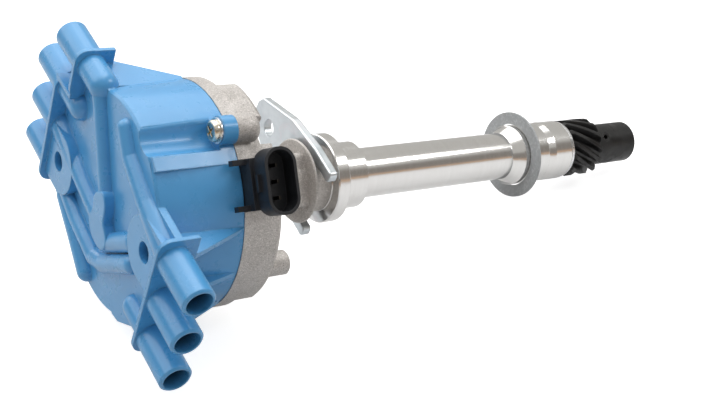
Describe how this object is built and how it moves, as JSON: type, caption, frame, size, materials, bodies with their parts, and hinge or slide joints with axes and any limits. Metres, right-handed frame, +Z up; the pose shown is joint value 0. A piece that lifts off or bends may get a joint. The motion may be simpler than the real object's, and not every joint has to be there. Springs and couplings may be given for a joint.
{
  "type": "ignition distributor",
  "caption": "Ignition distributor with a flat blue cap, side lead towers, cast bowl, long stem, hold-down clamp and helical drive gear.",
  "frame": {"origin": "centre of the collar's lower face on the shaft axis", "axes": "+Z up the shaft to the cap, the four lead towers along +X, the three along -X"},
  "size_m": [0.1609, 0.1151, 0.3195],
  "materials": {
    "blue_plastic": "satin moulded plastic",
    "cast_aluminium": "rough die cast, turned bright on the stem",
    "aluminium_contact": "plain",
    "brass": "plain",
    "bronze": "oil filled",
    "carbon": "pressed carbon",
    "spring_steel": "drawn wire",
    "plated_steel": "bright zinc plate",
    "zinc_steel": "bluish zinc plate",
    "steel": "ground",
    "dark_steel": "dark phosphate, oiled",
    "fibre": "pressed fibre",
    "black_plastic": "moulded, fine grain"
  },
  "bodies": {
    "frame": {"housing": "cast_aluminium", "upper_bushing": "bronze", "lower_bushing": "bronze", "vent_screens": "steel", "cap": "blue_plastic", "tower_terminals": "aluminium_contact", "cap_contacts": "aluminium_contact", "coil_contact": "brass", "button_spring": "spring_steel", "cap_screws": "plated_steel", "screw_washers": "plated_steel", "connector_shell": "black_plastic", "connector_terminals": "brass", "hall_sensor": "black_plastic", "sensor_screws": "plated_steel", "upper_washer": "steel", "thrust_washer": "steel"},
    "shaft": {"drive_shaft": "steel", "drive_gear": "dark_steel", "gear_roll_pin": "steel", "gear_shims": "steel", "upper_shim": "steel", "vane_wheel": "steel", "rotor_carrier": "steel", "rotor": "black_plastic", "rotor_blade": "brass", "rotor_screws": "plated_steel"},
    "clamp": {"hold_down_clamp": "zinc_steel"},
    "gasket": {"mounting_gasket": "fibre"},
    "button": {"carbon_button": "carbon"}
  },
  "joints": [
    {"name": "shaft_spin", "type": "hinge", "parent": "frame", "child": "shaft", "pos_m": [0, 0, 0], "axis": [0, 0, 1], "continuous": true},
    {"name": "clamp_swivel", "type": "hinge", "parent": "frame", "child": "clamp", "pos_m": [0, 0, 0.013], "axis": [0, 0, 1], "continuous": true},
    {"name": "gasket_slide", "type": "slide", "parent": "frame", "child": "gasket", "axis": [0, 0, 1], "range_m": [0, 0.117]},
    {"name": "button_slide", "type": "slide", "parent": "frame", "child": "button", "axis": [0, 0, 1], "range_m": [0, 0.0015], "stiffness_N_per_m": 180, "springref_m": -0.002, "deforming": ["button_spring"]}
  ]
}
